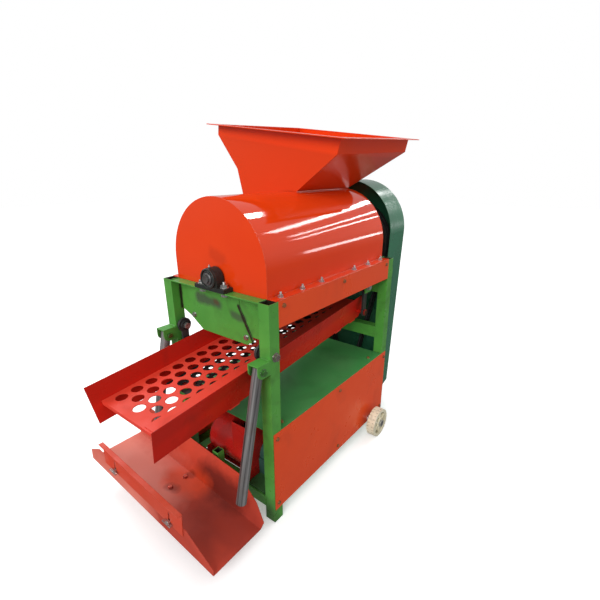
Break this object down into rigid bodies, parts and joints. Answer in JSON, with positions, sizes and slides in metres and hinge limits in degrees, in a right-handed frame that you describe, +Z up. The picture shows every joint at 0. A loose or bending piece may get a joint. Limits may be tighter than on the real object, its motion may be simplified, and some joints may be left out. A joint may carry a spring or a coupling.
{
  "type": "chestnut sheller",
  "caption": "Motor-driven chestnut sheller on a wheeled tube stand: feed hopper, threshing drum, shaking sieve, blower and sloping outlet chute.",
  "frame": {"origin": "centre of the bounding box on the floor", "axes": "+Z up, +Y to the back where the belt guard is, +X to the right as seen from the chute end"},
  "size_m": [0.7196, 1.261, 1.2974],
  "materials": {
    "drum_orange": "gloss orange-red paint",
    "sieve_red": "semi-gloss red paint",
    "blower_red": "gloss red paint",
    "chute_red": "dull orange-red paint",
    "frame_green": "semi-gloss bright green paint",
    "deck_green": "dark green paint",
    "guard_green": "bluish green paint",
    "motor_green": "machine enamel",
    "cast_grey": "dark grey-green cast iron",
    "galvanised_steel": "dull galvanised",
    "zinc_steel": "bright zinc plating",
    "bare_steel": "bare steel",
    "black_rubber": "matt black",
    "cream_plastic": "matt cream"
  },
  "bodies": {
    "frame": {"front_legs": "frame_green", "rear_legs": "frame_green", "top_cross_beams": "frame_green", "top_side_rails": "frame_green", "cross_beams": "frame_green", "lower_side_rails": "frame_green", "deck_side_rails": "frame_green", "deck_sheet": "deck_green", "front_panel": "frame_green", "front_corner_sheet": "frame_green", "rear_panel": "frame_green", "side_strips": "drum_orange", "side_panels": "drum_orange", "drum_cover": "drum_orange", "drum_end_plates": "drum_orange", "feed_hopper": "drum_orange", "concave_grate": "frame_green", "pillow_blocks": "cast_grey", "belt_guard": "guard_green", "guard_brackets": "frame_green", "drive_belts": "black_rubber", "main_motor": "motor_green", "motor_fan_cowl": "motor_green", "motor_terminal_box": "motor_green", "blower_casing": "blower_red", "blower_motor": "motor_green", "chute_trough": "chute_red", "chute_supports": "frame_green", "handle_brackets": "frame_green", "wheel_axle": "galvanised_steel", "axle_collars": "zinc_steel", "hanger_bushes": "black_rubber", "frame_bolts": "zinc_steel", "panel_screws": "zinc_steel", "wing_nuts": "zinc_steel"},
    "rotor": {"rotor_shaft": "bare_steel", "bearing_rings": "bare_steel", "rotor_discs": "bare_steel", "beater_bars": "bare_steel", "rotor_pulley": "cast_grey"},
    "motor_rotor": {"motor_shaft": "bare_steel", "motor_pulley": "cast_grey"},
    "impeller": {"blower_impeller": "bare_steel"},
    "sieve": {"sieve_walls": "sieve_red", "sieve_bed": "sieve_red", "sieve_cover_strip": "sieve_red", "sieve_lower_deck": "sieve_red", "sieve_cross_bars": "sieve_red", "shaker_body": "motor_green"},
    "shaker": {"shaker_shaft": "bare_steel"},
    "hanger_front_left": {"hanger_front_left": "bare_steel"},
    "hanger_front_right": {"hanger_front_right": "bare_steel"},
    "hanger_rear_left": {"hanger_rear_left": "bare_steel"},
    "hanger_rear_right": {"hanger_rear_right": "bare_steel"},
    "handle_left": {"handle_left": "galvanised_steel"},
    "handle_right": {"handle_right": "galvanised_steel"},
    "wheel_left": {"wheel_left": "cream_plastic"},
    "wheel_right": {"wheel_right": "cream_plastic"},
    "gate": {"chute_gate": "chute_red"}
  },
  "joints": [
    {"name": "rotor_spin", "type": "hinge", "parent": "frame", "child": "rotor", "pos_m": [0.05393, 0.09354, 0.8075], "axis": [0, 1, 0], "continuous": true},
    {"name": "motor_spin", "type": "hinge", "parent": "frame", "child": "motor_rotor", "pos_m": [0.05393, 0.31054, 0.19], "axis": [0, 1, 0], "continuous": true},
    {"name": "blower_spin", "type": "hinge", "parent": "frame", "child": "impeller", "pos_m": [0.05393, -0.17146, 0.17], "axis": [1, 0, 0], "continuous": true},
    {"name": "sieve_shake", "type": "slide", "parent": "frame", "child": "sieve", "axis": [0, 1, 0], "range_m": [-0.006, 0.006]},
    {"name": "shaker_spin", "type": "hinge", "parent": "sieve", "child": "shaker", "pos_m": [-0.01407, 0.2879, 0.46797], "axis": [1, 0, 0], "continuous": true},
    {"name": "hanger_front_left_swing", "type": "hinge", "parent": "frame", "child": "hanger_front_left", "pos_m": [-0.12607, -0.26746, 0.61], "axis": [1, 0, 0], "range_deg": [-3.2, 3.2]},
    {"name": "hanger_front_right_swing", "type": "hinge", "parent": "frame", "child": "hanger_front_right", "pos_m": [0.23393, -0.26746, 0.61], "axis": [1, 0, 0], "range_deg": [-3.2, 3.2]},
    {"name": "hanger_rear_left_swing", "type": "hinge", "parent": "frame", "child": "hanger_rear_left", "pos_m": [-0.12607, 0.35054, 0.66871], "axis": [1, 0, 0], "range_deg": [-3.2, 3.2]},
    {"name": "hanger_rear_right_swing", "type": "hinge", "parent": "frame", "child": "hanger_rear_right", "pos_m": [0.23393, 0.35054, 0.66871], "axis": [1, 0, 0], "range_deg": [-3.2, 3.2]},
    {"name": "handle_left_lift", "type": "hinge", "parent": "frame", "child": "handle_left", "pos_m": [-0.16207, -0.32046, 0.583], "axis": [-1, 0, 0], "range_deg": [-6, 76]},
    {"name": "handle_right_lift", "type": "hinge", "parent": "frame", "child": "handle_right", "pos_m": [0.26993, -0.32046, 0.583], "axis": [-1, 0, 0], "range_deg": [-6, 76]},
    {"name": "wheel_left_roll", "type": "hinge", "parent": "frame", "child": "wheel_left", "pos_m": [-0.22607, 0.35054, 0.0625], "axis": [1, 0, 0], "continuous": true},
    {"name": "wheel_right_roll", "type": "hinge", "parent": "frame", "child": "wheel_right", "pos_m": [0.33393, 0.35054, 0.0625], "axis": [1, 0, 0], "continuous": true},
    {"name": "gate_slide", "type": "slide", "parent": "frame", "child": "gate", "axis": [0.1018, 0, 0.9948], "range_m": [-0.035, 0]}
  ],
  "couplings": [
    {"joint": "motor_spin", "follows": "rotor_spin", "ratio": 4},
    {"joint": "hanger_front_left_swing", "follows": "sieve_shake", "rad_per_m": 9.0909},
    {"joint": "hanger_front_right_swing", "follows": "sieve_shake", "rad_per_m": 9.0909},
    {"joint": "hanger_rear_left_swing", "follows": "sieve_shake", "rad_per_m": 9.0909},
    {"joint": "hanger_rear_right_swing", "follows": "sieve_shake", "rad_per_m": 9.0909}
  ]
}
